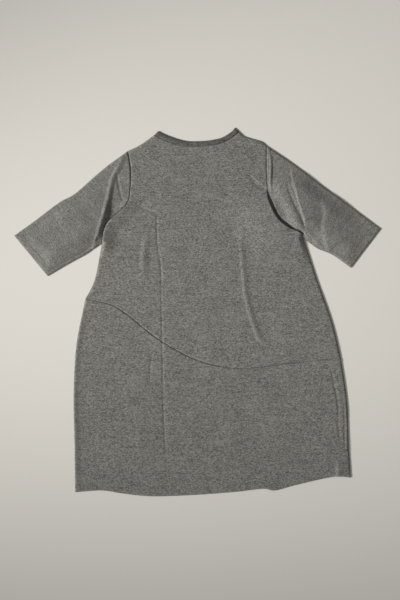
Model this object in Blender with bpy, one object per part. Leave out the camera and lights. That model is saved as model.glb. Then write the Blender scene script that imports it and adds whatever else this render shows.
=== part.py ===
"""Sweatshirt dress laid flat on a table with its back up.

A loose knee-length dress of melange sweatshirt knit. The back is cut in two by a
wavy seam, the front is one panel, the elbow sleeves are set in, and a narrow band
goes round the neck. Each cut piece is a thin closed wall of cloth.

+Y points to the neck, +Z is up, and the front lies on z = 0. Left and right are
as seen from above. Sizes are in millimetres until a mesh is made in metres.
"""

import math
from typing import NamedTuple

import bmesh
import bpy
import numpy as np
from mathutils import Vector
from mathutils.geometry import delaunay_2d_cdt

# Driving sizes
MM = 0.001
WALL = 1.5
GAP = 0.3
BAND_WIDTH = 15.0
FRONT_NECK_DROP = 92.0
FRONT_NECK_ROUNDNESS = 0.8
LOFT = 2.2
EDGE_ROLL = 20.0
SWELL_ROLL = 34.0

# Heights of the two layers of cloth
FRONT_BOTTOM = 0.0
FRONT_TOP = FRONT_BOTTOM + WALL
BACK_BOTTOM = FRONT_TOP + GAP
BACK_TOP = BACK_BOTTOM + WALL

# How finely the outlines and folds are drawn
EDGE_STEP = 16.0
ARMHOLE_POINTS = 35
NECK_POINTS = 19
CUFF_POINTS = 8
FILL_STEP = 55.0
FILL_CLEARANCE = 15.0
CREST_STEP = 22.0
TALL_FOLD = 3.0
TALL_STEP = 11.0
TALL_LINES = (0.0, 0.35, -0.35, 0.7, -0.7, 1.0, -1.0)
LOW_LINES = (0.0, 0.5, -0.5, 1.0, -1.0)
FOLD_CLEARANCE = 4.0
SLOPE_REACH = 0.5
SPAN_POINTS = 24
PATH_STEP = 8.0

# Colours, roughness
CLOTH_COLOUR = (0.19, 0.185, 0.165, 1.0)
BAND_COLOUR = (0.11, 0.105, 0.095, 1.0)
CLOTH_ROUGHNESS = 0.95

# Corners where the curves meet: x, y
NECK_LEFT = (-119.0, 487.0)
NECK_RIGHT = (116.0, 495.0)
BAND_TIP_LEFT = (-108.0, 498.0)
BAND_TIP_RIGHT = (103.0, 507.5)
SHOULDER_LEFT = (-192.0, 443.0)
SHOULDER_RIGHT = (190.0, 458.0)
ARMPIT_LEFT = (-263.0, 188.0)
ARMPIT_RIGHT = (292.0, 203.0)
CUFF_TOP_LEFT = (-504.5, 210.0)
CUFF_END_LEFT = (-412.5, 99.0)
CUFF_TOP_RIGHT = (504.5, 229.0)
CUFF_END_RIGHT = (422.0, 122.0)
SEAM_LEFT = (-308.5, 36.0)
SEAM_RIGHT = (394.5, -126.5)
HEM_LEFT = (-337.0, -496.0)
HEM_RIGHT = (422.0, -456.0)

# Curves between the corners, from the neck outwards and down: x, y
SHOULDER_SEAM_LEFT = (NECK_LEFT, (-160.0, 458.0), SHOULDER_LEFT)
SHOULDER_SEAM_RIGHT = (NECK_RIGHT, (128.0, 484.5), (178.0, 468.0), SHOULDER_RIGHT)
NECK_SEAM = (
    NECK_LEFT,
    (-92.0, 473.5),
    (-38.0, 456.5),
    (1.0, 455.0),
    (36.0, 458.0),
    (72.0, 466.0),
    (92.0, 477.0),
    NECK_RIGHT,
)
ARMHOLE_LEFT = (
    SHOULDER_LEFT,
    (-183.5, 390.0),
    (-184.5, 340.0),
    (-192.0, 299.0),
    (-219.0, 272.0),
    (-248.0, 244.0),
    (-257.0, 222.0),
    ARMPIT_LEFT,
)
ARMHOLE_RIGHT = (
    SHOULDER_RIGHT,
    (190.0, 396.0),
    (192.0, 355.0),
    (194.0, 314.0),
    (204.5, 285.0),
    (222.0, 255.0),
    (251.5, 232.0),
    (281.0, 218.5),
    ARMPIT_RIGHT,
)
SLEEVE_TOP_LEFT = (
    SHOULDER_LEFT,
    (-248.0, 402.0),
    (-280.0, 375.5),
    (-341.5, 322.5),
    (-377.0, 303.5),
    (-451.5, 248.0),
    CUFF_TOP_LEFT,
)
SLEEVE_TOP_RIGHT = (
    SHOULDER_RIGHT,
    (260.5, 410.5),
    (328.0, 359.5),
    (398.0, 308.0),
    CUFF_TOP_RIGHT,
)
UNDERARM_LEFT = (ARMPIT_LEFT, (-283.0, 177.0), (-300.5, 163.0), (-353.5, 133.5), CUFF_END_LEFT)
UNDERARM_RIGHT = (ARMPIT_RIGHT, (306.0, 192.5), (331.0, 174.5), (369.0, 158.5), CUFF_END_RIGHT)
SIDE_UPPER_LEFT = (ARMPIT_LEFT, (-283.0, 88.0), (-297.0, 56.5), SEAM_LEFT)
SIDE_UPPER_RIGHT = (ARMPIT_RIGHT, (307.5, 155.5), (329.5, 88.0), (371.0, -29.0), SEAM_RIGHT)
SIDE_LOWER_LEFT = (SEAM_LEFT, (-333.0, -87.0), (-341.0, -222.0), (-338.5, -369.0), HEM_LEFT)
SIDE_LOWER_RIGHT = (SEAM_RIGHT, (411.5, -247.0), (416.5, -376.0), HEM_RIGHT)
WAVY_SEAM = (
    SEAM_LEFT,
    (-233.0, 18.0),
    (-191.5, -8.0),
    (-114.5, -69.5),
    (-22.0, -123.0),
    (40.0, -144.0),
    (119.0, -155.0),
    (255.0, -141.0),
    SEAM_RIGHT,
)
HEM = (
    HEM_LEFT,
    (-260.0, -491.5),
    (-210.0, -499.0),
    (-136.0, -507.0),
    (-34.0, -505.0),
    (103.0, -495.5),
    (186.0, -487.0),
    (210.0, -491.5),
    (268.0, -477.0),
    (384.0, -453.0),
    HEM_RIGHT,
)


class Fold(NamedTuple):
    """A ridge, or a valley where the height is below zero, along a crest of x, y, height.

    left and right are the half widths beside the crest, seen by someone walking along it.
    """

    name: str
    left: float
    right: float
    crest: tuple


SLEEVE_FOLDS = (
    Fold("left_long_ridge", 13, 12, (
        (-202, 434, 0), (-219, 396, 2.2), (-233, 370, 3), (-248, 308, 3),
        (-265, 258, 3), (-280, 211, 3), (-287, 188, 2),
    )),
    Fold("left_short_valley", 7, 7, ((-221, 384, 0), (-217, 350, -2), (-209, 316, -2), (-203, 295, 0))),
    Fold("left_armhole_lip", 5, 34, (
        (-257, 190, 3), (-252, 222, 6), (-243, 246, 7), (-214, 275, 7),
        (-187, 300, 5), (-150, 313, 2), (-118, 315, 0),
    )),
    Fold("right_seam_ridge", 7, 4, ((196, 452, 0), (201, 410, 2.6), (200, 352, 2.8), (202, 325, 1))),
    Fold("right_crevice_far_lip", 26, 6, (
        (203, 322, 2), (213, 290, 5), (230, 263, 7), (256, 241, 7), (292, 216, 4),
    )),
    Fold("right_crevice_near_lip", 6, 90, (
        (184, 330, 0), (197, 281, 6), (216, 249, 9), (247, 225, 9), (286, 199, 3),
    )),
    Fold("right_sharp_ridge", 22, 6, (
        (257, 399, 0), (263, 352, 3), (275, 305, 5), (287, 264, 5.5), (299, 223, 6), (331, 185, 3),
    )),
    Fold("right_soft_ridge", 30, 9, (
        (337, 326, 0), (353, 276, 3.5), (347, 235, 4), (357, 182, 4.5), (370, 166, 2),
    )),
)
SWELLS = (
    Fold("left_sleeve_swell", 17, 190, (
        (-219, 396, 0), (-233, 370, 0.5), (-248, 308, 3), (-265, 258, 7.5), (-280, 211, 9),
    )),
    Fold("right_sleeve_swell", 190, 44, (
        (218, 372, 0), (228, 337, 7), (252, 293, 13), (284, 243, 14), (305, 208, 9),
    )),
)
BODY_FOLDS = (
    Fold("right_shoulder_ridge", 9, 8, ((146, 380, 0), (160, 364, 2), (175, 349, 3), (186, 343, 3))),
    Fold("left_chest_valley", 7, 7, ((-169, 292, 0), (-142, 282, -1.6), (-112, 271, -1.6))),
    Fold("centre_valley", 7, 7, (
        (-112, 271, -1.5), (-110, 191, -1.4), (-101, 127, -1.2), (-99, 35, -1),
        (-95, -187, -1.3), (-91, -333, -1.3), (-84, -426, 0),
    )),
    Fold("left_chest_swell", 14, 16, ((-137, 241, 0), (-148, 148, 1.6), (-148, 81, 0))),
    Fold("left_belly_valley", 7, 7, ((-122, -105, 0), (-130, -151, -1.6), (-130, -203, 0))),
    Fold("right_long_ridge", 9, 10, (
        (122, 254, 0), (122, 169, 1.2), (126, 106, 1.8), (138, 20, 1.6), (175, -79, 1.4), (199, -92, 0),
    )),
    Fold("chest_swell", 12, 20, (
        (180, 318, 0), (140, 310, 1.8), (84, 309, 2), (33, 326, 1.4), (-59, 344, 0),
    )),
    Fold("right_skirt_valley", 7, 7, ((290, -275, 0), (315, -297, -1.6), (341, -319, 0))),
    Fold("right_waist_valley", 7, 7, ((311, 26, 0), (331, 15, -1.6), (348, 6, 0))),
    Fold("left_waist_valley", 14, 14, ((-296, 39, -1.6), (-241, 66, -2), (-181, 95, 0))),
    Fold("hem_valley", 8, 8, ((-268, -454, 0), (-169, -454, -1.4), (-70, -454, 0))),
    Fold("right_side_valley", 6, 6, (
        (367, -150, 0), (375, -194, -1.6), (386, -247, -1.8), (388, -315, -1.8), (394, -368, 0),
    )),
)
FOLDS = SLEEVE_FOLDS + BODY_FOLDS


def smooth_curve(points, step=None, count=None):
    """Points at equal distances along a smooth curve through the given points."""
    knots = np.array(points, float)
    padded = np.vstack((2 * knots[0] - knots[1], knots, 2 * knots[-1] - knots[-2]))
    chord = np.sqrt(np.linalg.norm(np.diff(padded[:, :2], axis=0), axis=1))
    when = np.concatenate(((0.0,), np.cumsum(chord)))
    dense = []
    for i in range(1, len(padded) - 2):
        for t in np.linspace(when[i], when[i + 1], SPAN_POINTS, endpoint=False):
            dense.append(catmull_rom(padded[i - 1:i + 3], when[i - 1:i + 3], t))
    dense.append(knots[-1])
    dense = np.array(dense)
    length = np.concatenate(((0.0,), np.cumsum(np.linalg.norm(np.diff(dense[:, :2], axis=0), axis=1))))
    if count is None:
        count = max(2, int(round(length[-1] / step)) + 1)
    wanted = np.linspace(0.0, length[-1], count)
    return np.column_stack([np.interp(wanted, length, column) for column in dense.T])


def catmull_rom(p, k, t):
    """Point at t on the span between the middle two of four knots."""
    a1 = ((k[1] - t) * p[0] + (t - k[0]) * p[1]) / (k[1] - k[0])
    a2 = ((k[2] - t) * p[1] + (t - k[1]) * p[2]) / (k[2] - k[1])
    a3 = ((k[3] - t) * p[2] + (t - k[2]) * p[3]) / (k[3] - k[2])
    b1 = ((k[2] - t) * a1 + (t - k[0]) * a2) / (k[2] - k[0])
    b2 = ((k[3] - t) * a2 + (t - k[1]) * a3) / (k[3] - k[1])
    return ((k[2] - t) * b1 + (t - k[1]) * b2) / (k[2] - k[1])


def moved_left(curve, distance):
    """The curve moved sideways, to the left of someone walking along it."""
    along = np.gradient(curve, axis=0)
    along /= np.linalg.norm(along, axis=1)[:, None]
    return curve + distance * np.column_stack((-along[:, 1], along[:, 0]))


def nearest_on(path, points):
    """Distance to the path, signed plus on its left, and the share of the path gone by there."""
    start, step = path[:-1, :2], np.diff(path[:, :2], axis=0)
    lengths = np.linalg.norm(step, axis=1)
    gone = np.concatenate(((0.0,), np.cumsum(lengths)))
    away = points[:, None, :] - start[None]
    along = np.clip((away * step).sum(2) / lengths ** 2, 0.0, 1.0)
    offset = away - along[:, :, None] * step
    distance = np.linalg.norm(offset, axis=2)
    best = distance.argmin(1)
    rows = np.arange(len(points))
    side = step[best, 0] * offset[rows, best, 1] - step[best, 1] * offset[rows, best, 0]
    share = (gone[best] + along[rows, best] * lengths[best]) / gone[-1]
    return np.where(side < 0, -1.0, 1.0) * distance[rows, best], share


def fold_height(fold, points):
    """Height that one fold adds at each point."""
    path = smooth_curve(fold.crest, step=PATH_STEP)
    distance, share = nearest_on(path, points)
    crest = np.interp(share, np.linspace(0.0, 1.0, len(path)), path[:, 2])
    width = np.where(distance > 0, fold.left, fold.right)
    return crest * 0.5 * (1.0 + np.cos(math.pi * np.clip(np.abs(distance) / width, 0.0, 1.0)))


def eased(share):
    """A smooth rise from 0 to 1."""
    share = np.clip(share, 0.0, 1.0)
    return share * share * (3.0 - 2.0 * share)


def relief(points, silhouette):
    """Height of the upper layer of cloth above its lowest place, at each point."""
    rim = np.abs(nearest_on(silhouette, points)[0])
    swells = eased(rim / SWELL_ROLL) * sum(fold_height(fold, points) for fold in SWELLS)
    heights = np.array([fold_height(fold, points) for fold in FOLDS])
    ridges = (np.maximum(heights, 0.0) ** 2).sum(0) ** 0.5
    valleys = np.minimum(heights, 0.0).sum(0)
    return np.maximum(LOFT * eased(rim / EDGE_ROLL) + swells + ridges + valleys, 0.0)


def upper_wall(points, silhouette):
    """Top and underside of the upper layer, whose wall stays as thick where it is steep."""
    slope_squared = 0.0
    for shift in ((SLOPE_REACH, 0.0), (0.0, SLOPE_REACH)):
        rise = relief(points + shift, silhouette) - relief(points - shift, silhouette)
        slope_squared = slope_squared + (rise / (2.0 * SLOPE_REACH)) ** 2
    top = BACK_TOP + relief(points, silhouette)
    under = np.maximum(top - WALL * np.sqrt(1.0 + slope_squared), BACK_BOTTOM)
    return np.column_stack((points, top)), np.column_stack((points, under))


def lower_wall(points):
    """Top and underside of the lower layer, which lies flat."""
    flat = np.ones(len(points))
    return np.column_stack((points, FRONT_TOP * flat)), np.column_stack((points, FRONT_BOTTOM * flat))


def inside(outline, points):
    """Which of the points lie inside the closed outline."""
    ends = np.roll(outline, -1, axis=0)
    x, y = points[:, 0][:, None], points[:, 1][:, None]
    rising = (outline[None, :, 1] > y) != (ends[None, :, 1] > y)
    run = (ends[:, 0] - outline[:, 0])[None]
    rise = (ends[:, 1] - outline[:, 1])[None]
    rise = np.where(rise == 0.0, 1.0, rise)
    crossing = outline[None, :, 0] + (y - outline[None, :, 1]) / rise * run
    return ((rising & (x < crossing)).sum(1) % 2).astype(bool)


def spread_points(outline, folds):
    """Points inside an outline: along each fold's crest and feet, and on a loose grid between."""
    chosen = []
    for fold in folds:
        tall = max(height for x, y, height in fold.crest) > TALL_FOLD
        path = smooth_curve(fold.crest, step=TALL_STEP if tall else CREST_STEP)[:, :2]
        for share in TALL_LINES if tall else LOW_LINES:
            chosen.append(moved_left(path, share * (fold.left if share > 0 else fold.right)))
    loose_from = len(chosen)
    low, high = outline.min(0), outline.max(0)
    columns = np.arange(low[0] + 0.5 * FILL_STEP, high[0], FILL_STEP)
    for row, y in enumerate(np.arange(low[1] + 0.5 * FILL_STEP, high[1], FILL_STEP)):
        chosen.append(np.column_stack((columns + (row % 2) * 0.5 * FILL_STEP, np.full(len(columns), y))))
    kept = []
    closed = np.vstack((outline, outline[:1]))
    for number, group in enumerate(chosen):
        group = group[inside(outline, group)]
        if len(group) == 0:
            continue
        from_edge = np.abs(nearest_on(closed, group)[0])
        clearance = FILL_CLEARANCE if number >= loose_from else FOLD_CLEARANCE
        for point in group[from_edge > clearance]:
            if not kept or np.linalg.norm(np.array(kept) - point, axis=1).min() > clearance:
                kept.append(point)
    return np.array(kept)


def triangles(outline, lines, within):
    """Triangles that fill an outline, along inner lines of its own points and through points within.

    outline is a list of points, lines a list of lists of their numbers, within more points.
    """
    points = np.vstack((outline, within)) if len(within) else np.array(outline)
    edges = [pair for line in lines for pair in zip(line[:-1], line[1:])]
    ring = list(range(len(outline)))
    found = delaunay_2d_cdt([Vector(p) for p in points], edges, [ring], 1, 1e-4)
    number = {new: olds[0] for new, olds in enumerate(found[3])}
    return points, [tuple(number[corner] for corner in face) for face in found[2]]


def make_object(name, vertices, faces, colour):
    """A named object of its own material, from points in millimetres."""
    mesh = bpy.data.meshes.new(name)
    mesh.from_pydata([tuple(MM * c for c in v) for v in vertices], [], faces)
    solid = bmesh.new()
    solid.from_mesh(mesh)
    unused = [vertex for vertex in solid.verts if not vertex.link_faces]
    bmesh.ops.delete(solid, geom=unused, context="VERTS")
    bmesh.ops.recalc_face_normals(solid, faces=solid.faces)
    solid.to_mesh(mesh)
    solid.free()
    material = bpy.data.materials.new(name + "_cloth")
    material.use_nodes = True
    shader = material.node_tree.nodes["Principled BSDF"]
    shader.inputs["Base Color"].default_value = colour
    shader.inputs["Roughness"].default_value = CLOTH_ROUGHNESS
    shader.inputs["Metallic"].default_value = 0.0
    mesh.materials.append(material)
    thing = bpy.data.objects.new(name, mesh)
    bpy.context.scene.collection.objects.link(thing)
    return thing


def panel(name, outline, folds, silhouette, upper):
    """A flat cut piece: its two faces share their triangles, and a rim closes them."""
    points, fill = triangles(outline, [], spread_points(outline, folds))
    top, under = upper_wall(points, silhouette) if upper else lower_wall(points)
    count, rim = len(points), len(outline)
    faces = list(fill)
    faces += [tuple(corner + count for corner in face[::-1]) for face in fill]
    faces += [((i + 1) % rim, i, i + count, (i + 1) % rim + count) for i in range(rim)]
    return make_object(name, np.vstack((top, under)), faces, CLOTH_COLOUR)


class Layer:
    """One of the two layers of a flattened tube: a cut edge, a fold, a cut edge and a fold.

    The four curves run on from each other with the layer on their left. Inside each
    fold runs a line, one wall away, where the inner face of the tube turns back.
    """

    def __init__(self, cut_one, fold_one, cut_two, fold_two, folds):
        cuts = [self.with_corners(cut_one), self.with_corners(cut_two)]
        outline, self.cuts, self.folds, self.lines = [], [], [], []
        for cut, fold in zip(cuts, (fold_one, fold_two)):
            self.cuts.append(list(range(len(outline), len(outline) + len(cut))))
            outline += list(cut)
            self.folds.append(list(range(len(outline) - 1, len(outline) + len(fold) - 1)))
            outline += list(fold[1:-1])
        self.folds[1][-1] = 0
        inner = [moved_left(fold, WALL)[1:-1] for fold in (fold_one, fold_two)]
        start = len(outline)
        for cut, fold, other in zip(self.cuts, inner, self.cuts[::-1]):
            line = list(range(start, start + len(fold)))
            self.lines.append([cut[-2]] + line + [other[1]])
            start += len(fold)
        spread = spread_points(np.array(outline), folds)
        within = np.vstack([*inner] + ([spread] if len(spread) else []))
        self.points, self.fill = triangles(np.array(outline), self.lines, within)
        outside = {i for fold in self.folds for i in fold}
        self.inner_fill = [face for face in self.fill if not outside & set(face)]

    @staticmethod
    def with_corners(cut):
        """The cut edge with one more point near each end, a wall's thickness from it."""
        steps = [(cut[i] - cut[j]) / np.linalg.norm(cut[i] - cut[j]) for i, j in ((1, 0), (-2, -1))]
        return np.vstack((cut[0], cut[0] + WALL * steps[0], cut[1:-1], cut[-1] + WALL * steps[1], cut[-1]))


def tube(name, upper, lower, silhouette, colour):
    """A flattened tube, open at its cut edges, from its upper and lower layers."""
    walls = [*upper_wall(upper.points, silhouette), *lower_wall(lower.points)]
    starts = np.concatenate(((0,), np.cumsum([len(wall) for wall in walls])))
    over, under, above_floor, floor = (int(start) for start in starts[:4])
    faces = [tuple(over + i for i in face) for face in upper.fill]
    faces += [tuple(under + i for i in face[::-1]) for face in upper.inner_fill]
    faces += [tuple(above_floor + i for i in face) for face in lower.inner_fill]
    faces += [tuple(floor + i for i in face[::-1]) for face in lower.fill]
    outer = (over, floor, upper.folds, lower.folds)
    inner = (under, above_floor, upper.lines, lower.lines)
    for top, bottom, highs, lows in (outer, inner):
        for high, low in zip(highs, lows):
            for i in range(len(high) - 1):
                faces.append((top + high[i], bottom + low[i], bottom + low[i + 1], top + high[i + 1]))
    for high, low in zip(upper.cuts, lower.cuts):
        for cut, top, bottom in ((high, over, under), (low, above_floor, floor)):
            for i in range(1, len(cut) - 2):
                faces.append((top + cut[i], bottom + cut[i], bottom + cut[i + 1], top + cut[i + 1]))
        for end, by in ((0, 1), (-1, -2)):
            faces.append((
                over + high[end], over + high[by], under + high[by],
                above_floor + low[by], floor + low[by], floor + low[end],
            ))
    return make_object(name, np.vstack(walls), faces, colour)


def front_neck(count):
    """The front neck seam, a round dip between the two neck corners."""
    left, right = np.array(NECK_LEFT), np.array(NECK_RIGHT)
    angle = np.linspace(0.0, math.pi, count)
    across = 0.5 * (1.0 - np.cos(angle))
    drop = FRONT_NECK_DROP * np.sin(angle) ** FRONT_NECK_ROUNDNESS
    return left + across[:, None] * (right - left) - np.column_stack((np.zeros(count), drop))


def joined(*curves):
    """One closed outline from curves that run on from each other."""
    return np.vstack([curve[:-1] for curve in curves])


def sleeve(name, rim, top_fold, underarm, on_left, silhouette):
    """One sleeve, set in at the armhole rim, whose underside has fewer points there."""
    layers = []
    for armhole, folds in ((rim, SLEEVE_FOLDS + SWELLS), (rim[::2], ())):
        edge = moved_left(armhole, -GAP if on_left else GAP)
        top, under = top_fold.copy(), underarm.copy()
        top[0], under[0] = edge[0], edge[-1]
        cuff = np.linspace(under[-1], top[-1], CUFF_POINTS)
        if on_left:
            layers.append(Layer(edge[::-1], top, cuff[::-1], under[::-1], folds))
        else:
            layers.append(Layer(edge, under, cuff, top[::-1], folds))
    return tube(name, layers[0], layers[1], silhouette, CLOTH_COLOUR)


def neck_band(back_seam, front_seam, silhouette):
    """The band, a ring whose back half shows and whose front half lies below it."""
    layers = []
    ends = moved_left(back_seam, GAP)[[0, -1]]
    for seam in (back_seam, front_seam):
        first, last = moved_left(seam, GAP), moved_left(seam, BAND_WIDTH)
        first[0], first[-1] = ends
        last[0], last[-1] = BAND_TIP_LEFT, BAND_TIP_RIGHT
        right_fold, left_fold = np.array((first[-1], last[-1])), np.array((last[0], first[0]))
        layers.append(Layer(first, right_fold, last[::-1], left_fold, ()))
    return tube("neck_band", layers[0], layers[1], silhouette, BAND_COLOUR)


def main():
    """Makes the six cut pieces."""
    for thing in list(bpy.data.objects):
        bpy.data.objects.remove(thing)
    (shoulder_left, shoulder_right, side_left, side_right, skirt_left, skirt_right, wavy, hem,
     sleeve_top_left, underarm_left, sleeve_top_right, underarm_right) = (
        smooth_curve(points, step=EDGE_STEP)
        for points in (SHOULDER_SEAM_LEFT, SHOULDER_SEAM_RIGHT, SIDE_UPPER_LEFT, SIDE_UPPER_RIGHT,
                       SIDE_LOWER_LEFT, SIDE_LOWER_RIGHT, WAVY_SEAM, HEM,
                       SLEEVE_TOP_LEFT, UNDERARM_LEFT, SLEEVE_TOP_RIGHT, UNDERARM_RIGHT)
    )
    armhole_left = smooth_curve(ARMHOLE_LEFT, count=ARMHOLE_POINTS)
    armhole_right = smooth_curve(ARMHOLE_RIGHT, count=ARMHOLE_POINTS)
    neck = smooth_curve(NECK_SEAM, count=NECK_POINTS)
    front = front_neck(NECK_POINTS)
    band_edge = moved_left(neck, BAND_WIDTH)
    band_edge[0], band_edge[-1] = BAND_TIP_LEFT, BAND_TIP_RIGHT
    silhouette = joined(
        band_edge, np.array((BAND_TIP_RIGHT, NECK_RIGHT)), shoulder_right, sleeve_top_right,
        np.array((CUFF_TOP_RIGHT, CUFF_END_RIGHT)), underarm_right[::-1], side_right, skirt_right,
        hem[::-1], skirt_left[::-1], side_left[::-1], underarm_left,
        np.array((CUFF_END_LEFT, CUFF_TOP_LEFT)), sleeve_top_left[::-1], shoulder_left[::-1],
        np.array((NECK_LEFT, BAND_TIP_LEFT)),
    )
    silhouette = np.vstack((silhouette, silhouette[:1]))

    lower_seam = moved_left(wavy, -GAP)
    lower_left, lower_right = skirt_left.copy(), skirt_right.copy()
    lower_left[0], lower_right[0] = lower_seam[0], lower_seam[-1]
    upper_outline = joined(neck, shoulder_right, armhole_right, side_right, wavy[::-1],
                           side_left[::-1], armhole_left[::-1], shoulder_left[::-1])
    lower_outline = joined(lower_seam, lower_right, hem[::-1], lower_left[::-1])
    front_outline = joined(front, shoulder_right, armhole_right[::2], side_right, skirt_right,
                           hem[::-1], skirt_left[::-1], side_left[::-1], armhole_left[::-2],
                           shoulder_left[::-1])
    panel("back_upper", upper_outline[::-1], FOLDS, silhouette, upper=True)
    panel("back_lower", lower_outline[::-1], BODY_FOLDS, silhouette, upper=True)
    panel("front", front_outline[::-1], (), silhouette, upper=False)
    sleeve("sleeve_left", armhole_left, sleeve_top_left, underarm_left, True, silhouette)
    sleeve("sleeve_right", armhole_right, sleeve_top_right, underarm_right, False, silhouette)
    neck_band(neck, front, silhouette)


main()
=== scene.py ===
"""Looks of the sweatshirt dress: finely meshed cloth, seams, stitches, melange knit and a plain studio.

The six cut pieces of the frame are made again with the same curves and nearly the same
folds, as thin closed shells on a fine lattice. Sizes are in millimetres until a mesh is
made in metres, +Y points to the neck, and left and right are as seen from above.
"""

import math
import random
from typing import NamedTuple

import bmesh
import bpy
import numpy as np
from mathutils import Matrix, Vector
from mathutils.geometry import delaunay_2d_cdt


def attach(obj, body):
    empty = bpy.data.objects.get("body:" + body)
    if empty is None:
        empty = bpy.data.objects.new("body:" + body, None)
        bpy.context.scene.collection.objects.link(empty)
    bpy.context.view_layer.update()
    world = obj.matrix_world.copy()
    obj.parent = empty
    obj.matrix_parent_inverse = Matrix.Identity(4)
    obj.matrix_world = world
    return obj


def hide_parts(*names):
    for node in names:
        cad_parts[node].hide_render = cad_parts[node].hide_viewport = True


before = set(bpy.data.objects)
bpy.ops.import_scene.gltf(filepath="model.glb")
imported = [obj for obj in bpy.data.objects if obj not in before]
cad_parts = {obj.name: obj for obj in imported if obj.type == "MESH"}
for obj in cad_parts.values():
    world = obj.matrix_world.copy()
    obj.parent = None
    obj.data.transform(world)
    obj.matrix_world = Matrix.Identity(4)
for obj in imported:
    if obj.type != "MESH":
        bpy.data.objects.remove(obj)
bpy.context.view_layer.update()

# Driving sizes, as in the part's source
MM = 0.001
WALL = 1.5
GAP = 0.3
BAND_WIDTH = 15.0
FRONT_NECK_DROP = 92.0
FRONT_NECK_ROUNDNESS = 0.8

# How high the upper layer stands off the lower one, and how wide a strip beside the outline
# its loft and its swells fade in
LOFT = 1.2
EDGE_ROLL = 6.0
SWELL_ROLL = 52.0

# Heights of the two layers of cloth
FRONT_BOTTOM = 0.0
FRONT_TOP = FRONT_BOTTOM + WALL
BACK_BOTTOM = FRONT_TOP + GAP
BACK_TOP = BACK_BOTTOM + WALL

# How finely curves are sampled: steps, points in each span of a curve, and points of the necks
EDGE_STEP = 2.4
PATH_STEP = 4.0
SPAN_POINTS = 48
NECK_POINTS = 19

# How finely the cloth is meshed: lattice steps, and rings of points at these distances from the rim
FINE_STEP = 2.2
LOWER_STEP = 9.0
RIM_RINGS = (0.35, 0.9, 1.8, 3.0, 4.4, 6.0)
LOWER_RINGS = RIM_RINGS[:3]
TRIANGLE_HEIGHT = math.sqrt(0.75)

# Points stay this far apart, rings keep this share of their distance, the lattice stays this
# share of its step away from the last ring, and it is close this far beyond a fold's width
CLOSEST = 0.8 * RIM_RINGS[0]
RING_SHARE = 0.9
LATTICE_SHARE = 0.7
DETAIL_MARGIN = 4.0

# Limits of the calculations: points at a time, stride of a rough outline, the steepest cloth,
# the smallest length, and the triangulation's tolerance and choice of faces
CHUNK = 1000
ROUGH_STRIDE = 12
STEEPEST = 3.0
TINY = 1e-9
FILL_TOLERANCE = 1e-4
FILL_INSIDE = 1

# Rounded rims, seams pressed into the cloth, and the allowances that lie under them
RIM_RADIUS = 0.75
INNER_ROUNDING = 0.4
SEAM_DIP = 1.1
SEAM_DIP_WIDTH = 1.8
SEAM_REACH = 8.0
THINNEST = 0.3
ALLOWANCE_SOFTNESS = 1.6

# Soft waves all over the cloth
RIPPLE_SEED = 11
RIPPLE_COUNT = 48
RIPPLE_LENGTHS = (42.0, 150.0)
RIPPLE_HEIGHT = 0.11

# Ribs of the neck band, and the rows of points that carry them
RIB_PITCH = 2.6
RIB_HEIGHT = 0.4
RIB_LEVEL = 0.6
RIB_STEPS = 6
RIB_FADE = 1.6
BAND_ROWS = 9
BAND_ROW_INSET = 1.2
BAND_CLEARANCE = 1.0
BAND_STRIDE = 4

# Stitches: length and pitch, and their thickness by the share of the length gone
STITCH_LENGTH = 2.7
STITCH_PITCH = 3.1
STITCH_SIDES = 6
STITCH_PROFILE = ((0.0, 0.3), (0.15, 0.85), (0.5, 1.0), (0.85, 0.85), (1.0, 0.3))
HEM_STITCH_RADIUS = 0.24
SEAM_STITCH_RADIUS = 0.42

# Corners where the curves meet: x, y
NECK_LEFT = (-119.0, 487.0)
NECK_RIGHT = (116.0, 495.0)
BAND_TIP_LEFT = (-108.0, 498.0)
BAND_TIP_RIGHT = (103.0, 507.5)
SHOULDER_LEFT = (-192.0, 443.0)
SHOULDER_RIGHT = (190.0, 458.0)
ARMPIT_LEFT = (-263.0, 188.0)
ARMPIT_RIGHT = (292.0, 203.0)
CUFF_TOP_LEFT = (-504.5, 210.0)
CUFF_END_LEFT = (-412.5, 99.0)
CUFF_TOP_RIGHT = (504.5, 229.0)
CUFF_END_RIGHT = (422.0, 122.0)
SEAM_LEFT = (-308.5, 36.0)
SEAM_RIGHT = (394.5, -126.5)
HEM_LEFT = (-337.0, -496.0)
HEM_RIGHT = (422.0, -456.0)

# Curves between the corners, from the neck outwards and down: x, y
SHOULDER_SEAM_LEFT = (NECK_LEFT, (-160.0, 458.0), SHOULDER_LEFT)
SHOULDER_SEAM_RIGHT = (NECK_RIGHT, (128.0, 484.5), (178.0, 468.0), SHOULDER_RIGHT)
NECK_SEAM = (
    NECK_LEFT, (-92.0, 473.5), (-38.0, 456.5), (1.0, 455.0),
    (36.0, 458.0), (72.0, 466.0), (92.0, 477.0), NECK_RIGHT,
)
ARMHOLE_LEFT = (
    SHOULDER_LEFT, (-183.5, 390.0), (-184.5, 340.0), (-192.0, 299.0),
    (-219.0, 272.0), (-248.0, 244.0), (-257.0, 222.0), ARMPIT_LEFT,
)
ARMHOLE_RIGHT = (
    SHOULDER_RIGHT, (190.0, 396.0), (192.0, 355.0), (194.0, 314.0),
    (204.5, 285.0), (222.0, 255.0), (251.5, 232.0), (281.0, 218.5), ARMPIT_RIGHT,
)
SLEEVE_TOP_LEFT = (
    SHOULDER_LEFT, (-248.0, 402.0), (-280.0, 375.5), (-341.5, 322.5),
    (-377.0, 303.5), (-451.5, 248.0), CUFF_TOP_LEFT,
)
SLEEVE_TOP_RIGHT = (SHOULDER_RIGHT, (260.5, 410.5), (328.0, 359.5), (398.0, 308.0), CUFF_TOP_RIGHT)
UNDERARM_LEFT = (ARMPIT_LEFT, (-283.0, 177.0), (-300.5, 163.0), (-353.5, 133.5), CUFF_END_LEFT)
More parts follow.
